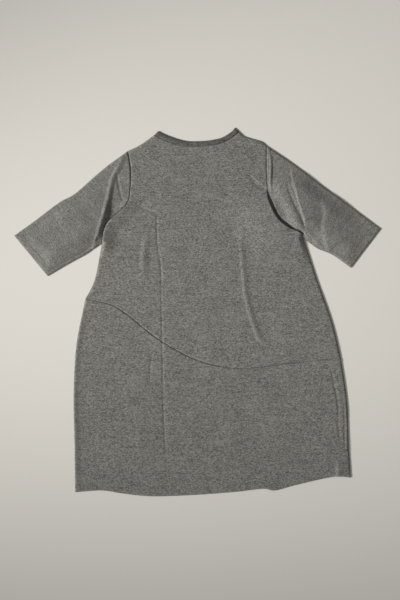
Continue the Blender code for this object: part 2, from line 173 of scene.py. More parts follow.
UNDERARM_RIGHT = (ARMPIT_RIGHT, (306.0, 192.5), (331.0, 174.5), (369.0, 158.5), CUFF_END_RIGHT)
SIDE_UPPER_LEFT = (ARMPIT_LEFT, (-283.0, 88.0), (-297.0, 56.5), SEAM_LEFT)
SIDE_UPPER_RIGHT = (ARMPIT_RIGHT, (307.5, 155.5), (329.5, 88.0), (371.0, -29.0), SEAM_RIGHT)
SIDE_LOWER_LEFT = (SEAM_LEFT, (-333.0, -87.0), (-341.0, -222.0), (-338.5, -369.0), HEM_LEFT)
SIDE_LOWER_RIGHT = (SEAM_RIGHT, (411.5, -247.0), (416.5, -376.0), HEM_RIGHT)
WAVY_SEAM = (
    SEAM_LEFT, (-233.0, 18.0), (-191.5, -8.0), (-114.5, -69.5), (-22.0, -123.0),
    (40.0, -144.0), (119.0, -155.0), (255.0, -141.0), SEAM_RIGHT,
)
HEM = (
    HEM_LEFT, (-260.0, -491.5), (-210.0, -499.0), (-136.0, -507.0), (-34.0, -505.0), (103.0, -495.5),
    (186.0, -487.0), (210.0, -491.5), (268.0, -477.0), (384.0, -453.0), HEM_RIGHT,
)


class Fold(NamedTuple):
    """A ridge, or a valley where the height is below zero, along a crest of x, y, height.

    left and right are the half widths beside the crest, seen by someone walking along it.
    """

    name: str
    left: float
    right: float
    crest: tuple


# The folds of the sleeves. The main ones are in the part's source too, some higher or lower
SLEEVE_FOLDS = (
    Fold("left_long_ridge", 13, 9, (
        (-202, 434, 1.2), (-219, 396, 3), (-233, 370, 3.2), (-247, 308, 3),
        (-259, 258, 3), (-274, 211, 3), (-286, 170, 2),
    )),
    Fold("left_short_valley", 5, 5, ((-221, 384, 0), (-217, 350, -2.2), (-209, 316, -2.2), (-203, 295, 0))),
    Fold("left_seam_valley", 4, 4, ((-190, 438, -1), (-184, 404, -1.5), (-183, 375, -1.2), (-186, 340, 0))),
    Fold("left_chest_ridge", 18, 7, (
        (-200, 293, 5), (-187, 301, 4), (-170, 308, 3), (-150, 313, 2), (-118, 315, 0),
    )),
    Fold("right_seam_ridge", 7, 3.5, ((196, 452, 0), (201, 410, 2.6), (200, 352, 2.8), (202, 325, 1))),
    Fold("right_sharp_ridge", 95, 3.2, (
        (257, 399, 0), (263, 352, 3.6), (275, 305, 4.6), (287, 264, 5), (299, 223, 5), (331, 185, 2.5),
    )),
    Fold("right_soft_ridge", 110, 18, (
        (337, 326, 0), (353, 276, 4.2), (349, 235, 4.8), (359, 182, 5), (370, 166, 2),
    )),
    Fold("right_face_valley", 7, 8, (
        (243, 366, 0), (250, 336, -1.2), (264, 298, -1.9), (284, 258, -1.8), (299, 228, 0),
    )),
)

# Broad raised areas of the sleeves
SWELLS = (
    Fold("left_sleeve_swell", 14, 360, (
        (-219, 396, 0), (-233, 370, 0.5), (-247, 308, 3.5), (-259, 258, 9), (-274, 211, 12),
    )),
    Fold("right_sleeve_swell", 250, 32, (
        (218, 376, 0), (228, 337, 8.5), (250, 293, 13), (280, 246, 14.5), (303, 210, 9),
    )),
)

# The folds of the body
BODY_FOLDS = (
    Fold("right_shoulder_valley", 9, 9, ((140, 376, 0), (154, 360, -2.2), (170, 346, -3), (184, 339, -2.5))),
    Fold("left_chest_valley", 5, 6, ((-169, 292, 0), (-142, 282, -1.8), (-112, 271, -2))),
    Fold("centre_valley", 4.5, 4.5, (
        (-112, 271, -1.5), (-110, 191, -1.4), (-101, 127, -1.2), (-99, 35, -1),
        (-95, -187, -1.3), (-91, -333, -1.3), (-84, -426, 0),
    )),
    Fold("left_chest_swell", 18, 14, ((-137, 241, 0), (-148, 148, 2.4), (-148, 81, 0))),
    Fold("left_belly_valley", 5, 5, ((-122, -105, 0), (-130, -151, -1.8), (-130, -203, 0))),
    Fold("right_long_ridge", 15, 9, (
        (122, 254, 0), (122, 169, 1.5), (126, 106, 2.1), (138, 20, 2), (175, -79, 1.8), (199, -92, 0),
    )),
    Fold("chest_swell", 10, 20, (
        (180, 318, 0), (140, 310, 1.8), (84, 309, 2), (33, 326, 1.4), (-59, 344, 0),
    )),
    Fold("right_skirt_valley", 5, 5, ((290, -275, 0), (315, -297, -2), (341, -319, 0))),
    Fold("right_waist_valley", 5, 5, ((311, 26, 0), (331, 15, -2), (348, 6, 0))),
    Fold("left_waist_valley", 12, 12, ((-296, 39, -2), (-241, 66, -2.2), (-181, 95, 0))),
    Fold("hem_valley", 6, 6, ((-268, -454, 0), (-169, -454, -1.6), (-70, -454, 0))),
    Fold("right_side_valley", 5, 5, (
        (367, -150, 0), (375, -194, -2), (386, -247, -2.2), (388, -315, -2.2), (394, -368, 0),
    )),
    Fold("right_edge_valley", 4, 4, ((402, -250, 0), (404, -300, -2), (404.5, -345, -2), (406, -380, 0))),
    Fold("hem_corner_ridge", 8, 32, ((384, -462, 3), (386, -440, 3), (388, -405, 0))),
)
FOLDS = SLEEVE_FOLDS + BODY_FOLDS

# Shallow troughs in the hidden underside, with their depths
UNDERSIDE_FOLDS = (
    Fold("under_centre", 24, 20, (
        (40, 210, 0), (52, 90, 0.7), (44, -120, 0.8), (58, -330, 0.6), (50, -430, 0),
    )),
    Fold("under_left", 26, 22, ((-210, 180, 0), (-190, 60, 0.8), (-228, -90, 0.7), (-214, -240, 0))),
    Fold("under_right", 22, 28, ((250, 60, 0), (268, -80, 0.7), (300, -230, 0.8), (296, -360, 0))),
    Fold("under_chest", 20, 26, ((-120, 300, 0), (-30, 322, 0.7), (70, 312, 0.8), (150, 290, 0))),
    Fold("under_left_sleeve", 20, 24, ((-262, 350, 0), (-310, 280, 0.7), (-352, 190, 0.6), (-372, 160, 0))),
    Fold("under_right_sleeve", 24, 20, ((262, 350, 0), (312, 286, 0.7), (362, 205, 0.7), (386, 176, 0))),
)


class Lip(NamedTuple):
    """A ridge or valley that follows a seam or edge, on one side of it only.

    offset is its distance from the seam, plus on the left. It fades at the dress's
    outline over the width given by roll. heights are given by the share of the seam
    that has gone by, and the lip ends at the first and last of them.
    """

    name: str
    seam: str
    offset: float
    left: float
    right: float
    roll: float
    heights: tuple


# Folds beside the armholes, then a ridge and dips beside the edges that don't fade at the outline
NO_ROLL = 0.1
CUFF_DIP = ((0.0, -0.3), (0.2, -0.6), (0.8, -0.6), (1.0, -0.3))
LIPS = (
    Lip("left_body_lip", "armhole_left", 1.4, 44, 3.0, 10, (
        (0.42, 0), (0.55, 4), (0.7, 7.5), (0.85, 9), (1.0, 9),
    )),
    Lip("right_body_lip", "armhole_right", -1.4, 3.0, 130, 18, (
        (0.38, 0), (0.45, 4), (0.52, 10), (0.6, 12), (0.78, 12), (0.92, 7),
    )),
    Lip("right_sleeve_lip", "armhole_right", 9.5, 26, 4.2, 10, (
        (0.40, 0), (0.5, 4), (0.6, 7), (0.9, 7), (1.0, 5),
    )),
    Lip("left_side_edge", "skirt_left", 0.8, 17, 1.6, NO_ROLL, (
        (0.05, 0), (0.15, 2.2), (0.85, 2.4), (1.0, 1),
    )),
    Lip("left_underarm_groove", "underarm_left", -8.5, 3.4, 3.4, NO_ROLL, (
        (0.16, 0), (0.24, -2), (0.95, -2), (1.0, -1),
    )),
    Lip("left_cuff_dip", "cuff_left", 20.0, 5, 5, NO_ROLL, CUFF_DIP),
    Lip("right_cuff_dip", "cuff_right", -20.0, 5, 5, NO_ROLL, CUFF_DIP),
    Lip("hem_dip", "hem", 16.0, 4, 4, NO_ROLL, ((0.0, -0.5), (0.1, -1), (0.9, -1), (1.0, -0.5))),
)


def path_length(path):
    """The whole length of a path."""
    return np.linalg.norm(np.diff(path, axis=0), axis=1).sum()


def length_so_far(path):
    """The length of a path up to each of its points."""
    return np.concatenate(((0.0,), np.cumsum(np.linalg.norm(np.diff(path, axis=0), axis=1))))


def smooth_curve(points, step=EDGE_STEP, count=None):
    """Points at equal distances along a smooth curve through the given points."""
    knots = np.array(points, float)
    padded = np.vstack((2 * knots[0] - knots[1], knots, 2 * knots[-1] - knots[-2]))
    chord = np.sqrt(np.linalg.norm(np.diff(padded[:, :2], axis=0), axis=1))
    when = np.concatenate(((0.0,), np.cumsum(chord)))
    dense = []
    for i in range(1, len(padded) - 2):
        t = np.linspace(when[i], when[i + 1], SPAN_POINTS, endpoint=False)[:, None]
        dense.append(catmull_rom(padded[i - 1:i + 3], when[i - 1:i + 3], t))
    dense = np.vstack((*dense, knots[-1]))
    length = length_so_far(dense[:, :2])
    if count is None:
        count = max(2, int(round(length[-1] / step)) + 1)
    wanted = np.linspace(0.0, length[-1], count)
    return np.column_stack([np.interp(wanted, length, column) for column in dense.T])


def catmull_rom(p, k, t):
    """Points at t on the span between the middle two of four knots."""
    a1 = ((k[1] - t) * p[0] + (t - k[0]) * p[1]) / (k[1] - k[0])
    a2 = ((k[2] - t) * p[1] + (t - k[1]) * p[2]) / (k[2] - k[1])
    a3 = ((k[3] - t) * p[2] + (t - k[2]) * p[3]) / (k[3] - k[2])
    b1 = ((k[2] - t) * a1 + (t - k[0]) * a2) / (k[2] - k[0])
    b2 = ((k[3] - t) * a2 + (t - k[1]) * a3) / (k[3] - k[1])
    return ((k[2] - t) * b1 + (t - k[1]) * b2) / (k[2] - k[1])


def moved_left(curve, distance):
    """The curve moved sideways, to the left of someone walking along it."""
    along = np.gradient(curve, axis=0)
    along /= np.linalg.norm(along, axis=1)[:, None]
    return curve + distance * np.column_stack((-along[:, 1], along[:, 0]))


def nearest_on(path, points):
    """Distance to the path, signed plus on its left, and the share of the path gone by there."""
    start, step = path[:-1, :2], np.diff(path[:, :2], axis=0)
    lengths = np.linalg.norm(step, axis=1)
    gone = length_so_far(path[:, :2])
    distances, shares = [], []
    for first in range(0, len(points), CHUNK):
        away = points[first:first + CHUNK, None, :] - start[None]
        along = np.clip((away * step).sum(2) / lengths ** 2, 0.0, 1.0)
        offset = away - along[:, :, None] * step
        squared = (offset ** 2).sum(2)
        best = squared.argmin(1)
        rows = np.arange(len(best))
        side = step[best, 0] * offset[rows, best, 1] - step[best, 1] * offset[rows, best, 0]
        distances.append(np.where(side < 0, -1.0, 1.0) * np.sqrt(squared[rows, best]))
        shares.append((gone[best] + along[rows, best] * lengths[best]) / gone[-1])
    return np.concatenate(distances), np.concatenate(shares)


def edge_distance(outline, points, reach):
    """Distance to a closed outline, exact within reach and rough beyond it."""
    rough = np.abs(nearest_on(np.vstack((outline[::ROUGH_STRIDE], outline[:1])), points)[0])
    near = rough < reach + ROUGH_STRIDE * EDGE_STEP
    if near.any():
        rough[near] = np.abs(nearest_on(np.vstack((outline, outline[:1])), points[near])[0])
    return rough


def smooth_step(share):
    """0 to 1 with soft ends."""
    share = np.clip(share, 0.0, 1.0)
    return share * share * (3.0 - 2.0 * share)


def close_to(path, points, reach):
    """Which points lie in the box round the path, grown by reach."""
    low, high = path[:, :2].min(0) - reach, path[:, :2].max(0) + reach
    return ((points > low) & (points < high)).all(1)


def ridge_height(path, left, right, points):
    """Height at each point of a ridge or valley along a path of x, y, height."""
    height = np.zeros(len(points))
    near = close_to(path, points, max(left, right))
    if near.any():
        distance, share = nearest_on(path, points[near])
        crest = np.interp(share, np.linspace(0.0, 1.0, len(path)), path[:, 2])
        width = np.where(distance > 0, left, right)
        height[near] = crest * 0.5 * (1.0 + np.cos(math.pi * np.clip(np.abs(distance) / width, 0.0, 1.0)))
    return height


def fold_height(fold, points):
    """Height that one fold adds at each point."""
    return ridge_height(smooth_curve(fold.crest, step=PATH_STEP), fold.left, fold.right, points)


def lip_height(lip, points):
    """Height that one lip adds at each point on its side of the seam."""
    seam = getattr(CURVES, lip.seam)
    share = np.linspace(0.0, 1.0, len(seam))
    crest = np.interp(share, *zip(*lip.heights), left=0.0, right=0.0)
    raised = (share >= lip.heights[0][0]) & (share <= lip.heights[-1][0])
    path = np.column_stack((moved_left(seam, lip.offset), crest))[raised]
    height = ridge_height(path, lip.left, lip.right, points)
    changed = np.flatnonzero(height)
    if len(changed):
        side = nearest_on(seam, points[changed])[0] * math.copysign(1.0, lip.offset)
        height[changed[side < -0.5 * GAP]] = 0.0
    return height


def ripple(points):
    """Low soft waves in all directions."""
    draw = random.Random(RIPPLE_SEED)
    height = np.zeros(len(points))
    shortest, longest = RIPPLE_LENGTHS
    for _ in range(RIPPLE_COUNT):
        length = shortest * (longest / shortest) ** draw.random()
        turn = draw.uniform(0.0, math.pi)
        start = draw.uniform(0.0, 2.0 * math.pi)
        run = points[:, 0] * math.cos(turn) + points[:, 1] * math.sin(turn)
        height += RIPPLE_HEIGHT * (length / longest) * np.sin(2.0 * math.pi * run / length + start)
    return height


class Strip(NamedTuple):
    """A stretch of cloth that lies higher, over an allowance, from near to far beside the path."""

    name: str
    path: np.ndarray
    near: float
    far: float
    height: float


def strip_height(strip, points):
    """Height that one strip adds at each point. near and far are plus on the path's left."""
    height = np.zeros(len(points))
    near = close_to(strip.path, points, abs(strip.far) + abs(strip.near) + ALLOWANCE_SOFTNESS)
    if near.any():
        distance = nearest_on(strip.path, points[near])[0]
        low, high = sorted((strip.near, strip.far))
        rise = smooth_step((distance - low) / ALLOWANCE_SOFTNESS + 0.5)
        fall = smooth_step((high - distance) / ALLOWANCE_SOFTNESS + 0.5)
        height[near] = strip.height * rise * fall
    return height


def joined(*curves):
    """One closed outline from curves that run on from each other."""
    return np.vstack([curve[:-1] for curve in curves])


def front_neck(count):
    """The front neck seam, a round dip between the two neck corners."""
    left, right = np.array(NECK_LEFT), np.array(NECK_RIGHT)
    angle = np.linspace(0.0, math.pi, count)
    across = 0.5 * (1.0 - np.cos(angle))
    drop = FRONT_NECK_DROP * np.sin(angle) ** FRONT_NECK_ROUNDNESS
    return left + across[:, None] * (right - left) - np.column_stack((np.zeros(count), drop))


def band_edge(seam):
    """The neck band's outer edge, from tip to tip."""
    edge = moved_left(seam, BAND_WIDTH)
    edge[0], edge[-1] = BAND_TIP_LEFT, BAND_TIP_RIGHT
    return smooth_curve(edge)


class Curves:
    """Every seam and edge of the dress, sampled once so that neighbours share their points."""

    def __init__(self):
        self.shoulder_left = smooth_curve(SHOULDER_SEAM_LEFT)
        self.shoulder_right = smooth_curve(SHOULDER_SEAM_RIGHT)
        self.side_left = smooth_curve(SIDE_UPPER_LEFT)
        self.side_right = smooth_curve(SIDE_UPPER_RIGHT)
        self.skirt_left = smooth_curve(SIDE_LOWER_LEFT)
        self.skirt_right = smooth_curve(SIDE_LOWER_RIGHT)
        self.wavy = smooth_curve(WAVY_SEAM)
        self.hem = smooth_curve(HEM)
        self.sleeve_top_left = smooth_curve(SLEEVE_TOP_LEFT)
        self.sleeve_top_right = smooth_curve(SLEEVE_TOP_RIGHT)
        self.underarm_left = smooth_curve(UNDERARM_LEFT)
        self.underarm_right = smooth_curve(UNDERARM_RIGHT)
        self.armhole_left = smooth_curve(ARMHOLE_LEFT)
        self.armhole_right = smooth_curve(ARMHOLE_RIGHT)
        self.neck = smooth_curve(NECK_SEAM)
        self.front_neck = smooth_curve(front_neck(NECK_POINTS))
        self.band_edge = band_edge(smooth_curve(NECK_SEAM, count=NECK_POINTS))
        self.front_band_edge = band_edge(front_neck(NECK_POINTS))
        self.cuff_left = smooth_curve((CUFF_TOP_LEFT, CUFF_END_LEFT))
        self.cuff_right = smooth_curve((CUFF_TOP_RIGHT, CUFF_END_RIGHT))
        self.silhouette = joined(
            self.band_edge, np.array((BAND_TIP_RIGHT, NECK_RIGHT)), self.shoulder_right,
            self.sleeve_top_right, self.cuff_right, self.underarm_right[::-1], self.side_right,
            self.skirt_right, self.hem[::-1], self.skirt_left[::-1], self.side_left[::-1],
            self.underarm_left, self.cuff_left[::-1], self.sleeve_top_left[::-1],
            self.shoulder_left[::-1], np.array((NECK_LEFT, BAND_TIP_LEFT)),
        )
        self.strips = (
            Strip("wavy_seam_allowance", self.wavy, -1.0, -9.0, 0.35),
            Strip("neck_seam_allowance", self.neck, -1.0, -8.0, 0.45),
            Strip("left_armhole_allowance", self.armhole_left, -1.0, -9.0, 0.3),
            Strip("right_armhole_allowance", self.armhole_right, 1.0, 9.0, 0.3),
            Strip("folded_hem", self.hem, -5.0, 17.0, 0.3),
            Strip("folded_left_cuff", self.cuff_left, -5.0, 20.0, 0.3),
            Strip("folded_right_cuff", self.cuff_right, 5.0, -20.0, 0.3),
        )


CURVES = Curves()


def cloth_top(points):
    """Height of the cloth that shows, at each point, apart from rims and seams."""
    rim = edge_distance(CURVES.silhouette, points, SWELL_ROLL)
    swells = smooth_step(rim / SWELL_ROLL) * sum(fold_height(fold, points) for fold in SWELLS)
    heights = [fold_height(fold, points) for fold in FOLDS]
    heights += [smooth_step(rim / lip.roll) * lip_height(lip, points) for lip in LIPS]
    heights = np.array(heights)
    ridges = (np.maximum(heights, 0.0) ** 2).sum(0) ** 0.5
    valleys = np.minimum(heights, 0.0).sum(0)
    rise = smooth_step(rim / EDGE_ROLL)
    relief = LOFT * rise + swells + ridges + valleys + rise * ripple(points)
    strips = sum(strip_height(strip, points) for strip in CURVES.strips)
    return BACK_TOP + np.maximum(relief, 0.0) + strips


def row_crossings(outline, y):
    """Where a closed outline crosses one height, from left to right."""
    ends = np.roll(outline, -1, axis=0)
    crossed = (outline[:, 1] > y) != (ends[:, 1] > y)
    start, end = outline[crossed], ends[crossed]
    return np.sort(start[:, 0] + (y - start[:, 1]) / (end[:, 1] - start[:, 1]) * (end[:, 0] - start[:, 0]))


def inside(outline, points):
    """Which of the points lie inside the closed outline."""
    found = np.zeros(len(points), bool)
    rows, numbers = np.unique(points[:, 1], return_inverse=True)
    order = np.argsort(numbers, kind="stable")
    starts = np.searchsorted(numbers[order], np.arange(len(rows) + 1))
    for row, y in enumerate(rows):
        members = order[starts[row]:starts[row + 1]]
        found[members] = np.searchsorted(row_crossings(outline, y), points[members, 0]) % 2 == 1
    return found


def lattice(outline, step, detailed):
    """Points of an even triangular lattice inside an outline, twice as close where it is detailed."""
    low, high = outline.min(0), outline.max(0)
    columns = int((high[0] - low[0]) / step) + 2
    rows = int((high[1] - low[1]) / (step * TRIANGLE_HEIGHT)) + 2
    row, column = np.meshgrid(np.arange(rows), np.arange(columns), indexing="ij")
    points = np.column_stack((
        (low[0] + (column + 0.5 * (row % 2)) * step).ravel(),
        (low[1] + row * step * TRIANGLE_HEIGHT).ravel(),
    ))
    coarse = ((row % 2 == 0) & ((column - row // 2) % 2 == 0)).ravel()
    kept = inside(outline, points)
    points, coarse = points[kept], coarse[kept]
    points = points[coarse | detailed(points)]
    clearance = RIM_RINGS[-1] + LATTICE_SHARE * step
    return points[edge_distance(outline, points, clearance) > clearance]


def everywhere(points):
    """All of the points, for a lattice that is close throughout."""
    return np.ones(len(points), bool)


def near_detail(points):
    """Which points lie near a narrow fold."""
    found = np.zeros(len(points), bool)
    for fold in FOLDS:
        reach = max(fold.left, fold.right) + DETAIL_MARGIN
        path = smooth_curve(fold.crest, step=PATH_STEP)
        near = close_to(path, points, reach)
        if near.any():
            found[near] |= np.abs(nearest_on(path, points[near])[0]) < reach
    return found


def rings(outline, distances):
    """Rows of points just inside a closed outline that runs anticlockwise."""
    closed = np.vstack((outline[-1:], outline, outline[:1]))
    found = []
    for number, distance in enumerate(distances):
        row = moved_left(closed, distance)[1:-1]
        if number % 2:
            row = 0.5 * (row + np.roll(row, -1, axis=0))
        kept = inside(outline, row)
        row = row[kept]
        found.append(row[edge_distance(outline, row, distance) > RING_SHARE * distance])
    return np.vstack(found)


def thinned(points, clearance):
    """The points without those that lie too close to an earlier one."""
    cells, kept = {}, []
    for number, (x, y) in enumerate(points):
        cell = (int(x // clearance), int(y // clearance))
        close = False
        for i in (-1, 0, 1):
            for j in (-1, 0, 1):
                for other in cells.get((cell[0] + i, cell[1] + j), ()):
                    if (points[other, 0] - x) ** 2 + (points[other, 1] - y) ** 2 < clearance ** 2:
                        close = True
        if not close:
            cells.setdefault(cell, []).append(number)
            kept.append(number)
    return points[kept]


def triangles(outline, lines, within):
    """Triangles that fill an outline, along inner lines and through the points within.

    lines holds lists of the points' numbers, counted through outline and then within.
    """
    points = np.vstack((outline, within))
    edges = [pair for line in lines for pair in zip(line[:-1], line[1:])]
    ring = list(range(len(outline)))
    corners = [Vector(point) for point in points.tolist()]
    found = delaunay_2d_cdt(corners, edges, [ring], FILL_INSIDE, FILL_TOLERANCE)
    faces, originals = found[2:4]
    number = [olds[0] for olds in originals]
    return points, np.array([[number[corner] for corner in face] for face in faces])


def anticlockwise(outline):
    """The outline, turned round if it runs clockwise."""
    x, y = outline[:, 0], outline[:, 1]
    area = (x * np.roll(y, -1) - np.roll(x, -1) * y).sum()
    return outline if area > 0 else outline[::-1]


def steepness(points, faces):
    """How much longer the wall is upright than across the cloth, at each point."""
    a, b, c = (points[faces[:, i]] for i in range(3))
    across = np.cross(b - a, c - a)
    normals = np.zeros_like(points)
    for corner in range(3):
        np.add.at(normals, faces[:, corner], across)
    length = np.linalg.norm(normals, axis=1)
    upright = np.abs(normals[:, 2]) / np.maximum(length, TINY)
    return 1.0 / np.maximum(upright, 1.0 / STEEPEST)


def rim_drop(away):
    """How far a rounded rim falls below the cloth's face, at a distance from the edge."""
    inset = np.clip(RIM_RADIUS - away, 0.0, RIM_RADIUS)
    return RIM_RADIUS - np.sqrt(RIM_RADIUS ** 2 - inset ** 2)


def upper_wall(points, faces, outline):
    """Top and underside of the upper layer, rounded at its rim and pressed in at its seams."""
    away = edge_distance(outline, points, SEAM_REACH)
    drop = rim_drop(away)
    top = cloth_top(points) - SEAM_DIP * np.exp(-(away / SEAM_DIP_WIDTH) ** 2)
    under = top - WALL * steepness(np.column_stack((points, top)), faces)
    under = np.maximum(under, BACK_BOTTOM) + INNER_ROUNDING * drop
    top = np.maximum(top - drop, under + THINNEST)
    return np.column_stack((points, top)), np.column_stack((points, under))


def lower_wall(points, outline):
    """Top and underside of the lower layer, which lies flat with a rounded rim and shallow troughs."""
    drop = rim_drop(edge_distance(outline, points, RIM_RADIUS))
    troughs = np.max([fold_height(fold, points) for fold in UNDERSIDE_FOLDS], axis=0)
    return (
        np.column_stack((points, FRONT_TOP - INNER_ROUNDING * drop)),
        np.column_stack((points, FRONT_BOTTOM + np.maximum(drop, troughs))),
    )


def make_object(name, vertices, faces, material):
    """A named smooth mesh object from points in millimetres."""
    mesh = bpy.data.meshes.new(name)
    mesh.from_pydata((MM * np.asarray(vertices)).tolist(), [], faces)
    solid = bmesh.new()
    solid.from_mesh(mesh)
    unused = [vertex for vertex in solid.verts if not vertex.link_faces]
    bmesh.ops.delete(solid, geom=unused, context="VERTS")
    bmesh.ops.recalc_face_normals(solid, faces=solid.faces)
    solid.to_mesh(mesh)
    solid.free()
    mesh.shade_smooth()
    mesh.materials.append(material)
    thing = bpy.data.objects.new(name, mesh)
    bpy.context.scene.collection.objects.link(thing)
    return thing


def panel(name, outline, material, upper):
    """A flat cut piece: its two faces share their triangles, and a rim closes them."""
    outline = anticlockwise(outline)
    if upper:
        inner = lattice(outline, FINE_STEP, near_detail)
    else:
        inner = lattice(outline, LOWER_STEP, everywhere)
    within = thinned(np.vstack((rings(outline, RIM_RINGS), inner)), CLOSEST)
    points, fill = triangles(outline, [], within)
    top, under = upper_wall(points, fill, outline) if upper else lower_wall(points, outline)
    count, rim = len(points), len(outline)
    faces = fill.tolist()
    faces += (fill[:, ::-1] + count).tolist()
    faces += [((i + 1) % rim, i, i + count, (i + 1) % rim + count) for i in range(rim)]
    return make_object(name, np.vstack((top, under)), faces, material)


class Layer:
    """One of the two layers of a flattened tube: a cut edge, a fold, a cut edge and a fold.

    The four curves run on from each other with the layer on their left. Inside each
    fold runs a line, one wall away, where the inner face of the tube turns back.
    """

    def __init__(self, cut_one, fold_one, cut_two, fold_two, fill):
        cuts = [self.with_corners(cut_one), self.with_corners(cut_two)]
        outline, self.cuts, self.folds, self.lines = [], [], [], []
        for cut, fold in zip(cuts, (fold_one, fold_two)):
            self.cuts.append(list(range(len(outline), len(outline) + len(cut))))
            outline += list(cut)
            self.folds.append(list(range(len(outline) - 1, len(outline) + len(fold) - 1)))
            outline += list(fold[1:-1])
        self.folds[1][-1] = 0
        self.outline = np.array(outline)
        inner = [moved_left(fold, WALL)[1:-1] for fold in (fold_one, fold_two)]
        start = len(outline)
        for fold, cut, other in zip(inner, self.cuts, self.cuts[::-1]):
            line = list(range(start, start + len(fold)))
            self.lines.append([cut[-2]] + line + [other[1]])
            start += len(fold)
        loose = fill(self.outline)
        for line in inner:
            loose = loose[np.abs(nearest_on(line, loose)[0]) > RIM_RINGS[0]]
        within = np.vstack([*inner, thinned(loose, CLOSEST)])
        self.points, self.fill = triangles(self.outline, self.lines, within)
        middles = self.points[self.fill].mean(1)
        hollow = np.ones(len(self.fill), bool)
        for fold, line in zip(self.folds, self.lines):
            hollow &= ~inside(self.points[fold + line[::-1]], middles)
        self.inner_fill = self.fill[hollow]

    @staticmethod
    def with_corners(cut):
        """The cut edge with one more point near each end, a wall's thickness from it."""
        steps = [(cut[i] - cut[j]) / np.linalg.norm(cut[i] - cut[j]) for i, j in ((1, 0), (-2, -1))]
        return np.vstack((cut[0], cut[0] + WALL * steps[0], cut[1:-1], cut[-1] + WALL * steps[1], cut[-1]))


def tube(name, upper, lower, material, top_of=upper_wall):
    """A flattened tube, open at its cut edges, from its upper and lower layers."""
    walls = [*top_of(upper.points, upper.fill, upper.outline), *lower_wall(lower.points, lower.outline)]
    starts = np.concatenate(((0,), np.cumsum([len(wall) for wall in walls])))
    over, under, above_floor, floor = (int(start) for start in starts[:4])
    faces = (upper.fill + over).tolist()
    faces += (upper.inner_fill[:, ::-1] + under).tolist()
    faces += (lower.inner_fill + above_floor).tolist()
    faces += (lower.fill[:, ::-1] + floor).tolist()
    for top, bottom, upper_lines, lower_lines in (
        (over, floor, upper.folds, lower.folds), (under, above_floor, upper.lines, lower.lines),
    ):
        for high, low in zip(upper_lines, lower_lines):
            for i in range(len(high) - 1):
                faces.append((top + high[i], bottom + low[i], bottom + low[i + 1], top + high[i + 1]))
    for high, low in zip(upper.cuts, lower.cuts):
        for cut, top, bottom in ((high, over, under), (low, above_floor, floor)):
            for i in range(1, len(cut) - 2):
                faces.append((top + cut[i], bottom + cut[i], bottom + cut[i + 1], top + cut[i + 1]))
        for end, by in ((0, 1), (-1, -2)):
            faces.append((
                over + high[end], over + high[by], under + high[by],
                above_floor + low[by], floor + low[by], floor + low[end],
            ))
    return make_object(name, np.vstack(walls), faces, material)


def sleeve_fill(outline):
    """Fine points for the upper layer of a sleeve."""
    return np.vstack((rings(outline, RIM_RINGS), lattice(outline, FINE_STEP, everywhere)))


def plain_fill(outline):
    """Wide points for a layer that lies flat."""
    return np.vstack((rings(outline, LOWER_RINGS), lattice(outline, LOWER_STEP, everywhere)))


def sleeve(name, armhole, top_fold, underarm, cuff, on_left, material):
    """One sleeve, set in at its armhole."""
    edge = moved_left(armhole, -GAP if on_left else GAP)
    top, under = top_fold.copy(), underarm.copy()
    top[0], under[0] = edge[0], edge[-1]
    layers = []
    for fill in (sleeve_fill, plain_fill):
        if on_left:
            layers.append(Layer(edge[::-1], top, cuff, under[::-1], fill))
        else:
            layers.append(Layer(edge, under, cuff[::-1], top[::-1], fill))
    return tube(name, layers[0], layers[1], material)


def band_fill(seam):
    """Points for the neck band, in rows across it along each rib."""
    count = int(path_length(seam) / (RIB_PITCH / RIB_STEPS))

    def fill(outline):
        line = smooth_curve(seam[::BAND_STRIDE], count=count)
        rows = []
        for across in np.linspace(BAND_ROW_INSET, BAND_WIDTH - BAND_ROW_INSET, BAND_ROWS):
            row = moved_left(line, across)
            rows.append(row[inside(outline, row)])
        rows = np.vstack(rows)
        return rows[edge_distance(outline, rows, BAND_CLEARANCE) > BAND_CLEARANCE]

    return fill


def ribbed_wall(seam):
    """The upper wall of the neck band, raised in ribs across it."""
    length = path_length(seam)

    def wall(points, faces, outline):
        top, under = upper_wall(points, faces, outline)
        across, share = nearest_on(seam, points)
        rib = 0.5 + 0.5 * np.cos(2.0 * math.pi * share * length / RIB_PITCH)
        fade = smooth_step(across / RIB_FADE) * smooth_step((BAND_WIDTH - across) / RIB_FADE)
        top[:, 2] += RIB_HEIGHT * (rib - RIB_LEVEL) * fade
        return top, under

    return wall


def neck_band(material):
    """The band, a ring whose back half shows and whose front half lies below it."""
    layers = []
    ends = moved_left(CURVES.neck, GAP)[[0, -1]]
    for seam, last, fill in (
        (CURVES.neck, CURVES.band_edge, band_fill(CURVES.neck)),
        (CURVES.front_neck, CURVES.front_band_edge, plain_fill),
    ):
        first = moved_left(seam, GAP)
        first[0], first[-1] = ends
        right_fold = smooth_curve((first[-1], last[-1]))
        left_fold = smooth_curve((last[0], first[0]))
        layers.append(Layer(first, right_fold, last[::-1], left_fold, fill))
    return tube("neck_band_cloth", layers[0], layers[1], material, ribbed_wall(CURVES.neck))


# Colours of the knit, linear
KNIT_DARK = (0.050, 0.048, 0.044, 1.0)
KNIT_LIGHT = (0.357, 0.346, 0.313, 1.0)
# The band is the same yarn as the body, its two shades painted darker as the shade between its ribs
BAND_DARK_RIB_SHADED = (0.028, 0.026, 0.025, 1.0)
BAND_LIGHT_RIB_SHADED = (0.205, 0.192, 0.184, 1.0)
THREAD_COLOUR = (0.20, 0.195, 0.18, 1.0)
# Near-black seam thread is painted shade: it lies in the seam grooves as their dark shade line
SEAM_SHADE_THREAD_COLOUR = (0.055, 0.053, 0.050, 1.0)
FLOOR_COLOUR = (0.80, 0.775, 0.72, 1.0)

# Patterns of the knit: sizes in metres along the courses, across them and through the cloth
FIBRES = (0.0033, 0.0015, 0.003)
FLECKS = (0.0037, 0.0017, 0.003)
STREAKS = (0.07, 0.0034, 0.02)
BLOTCHES = (0.16, 0.12, 0.1)
WALE = 0.0013
COURSE = 0.0009

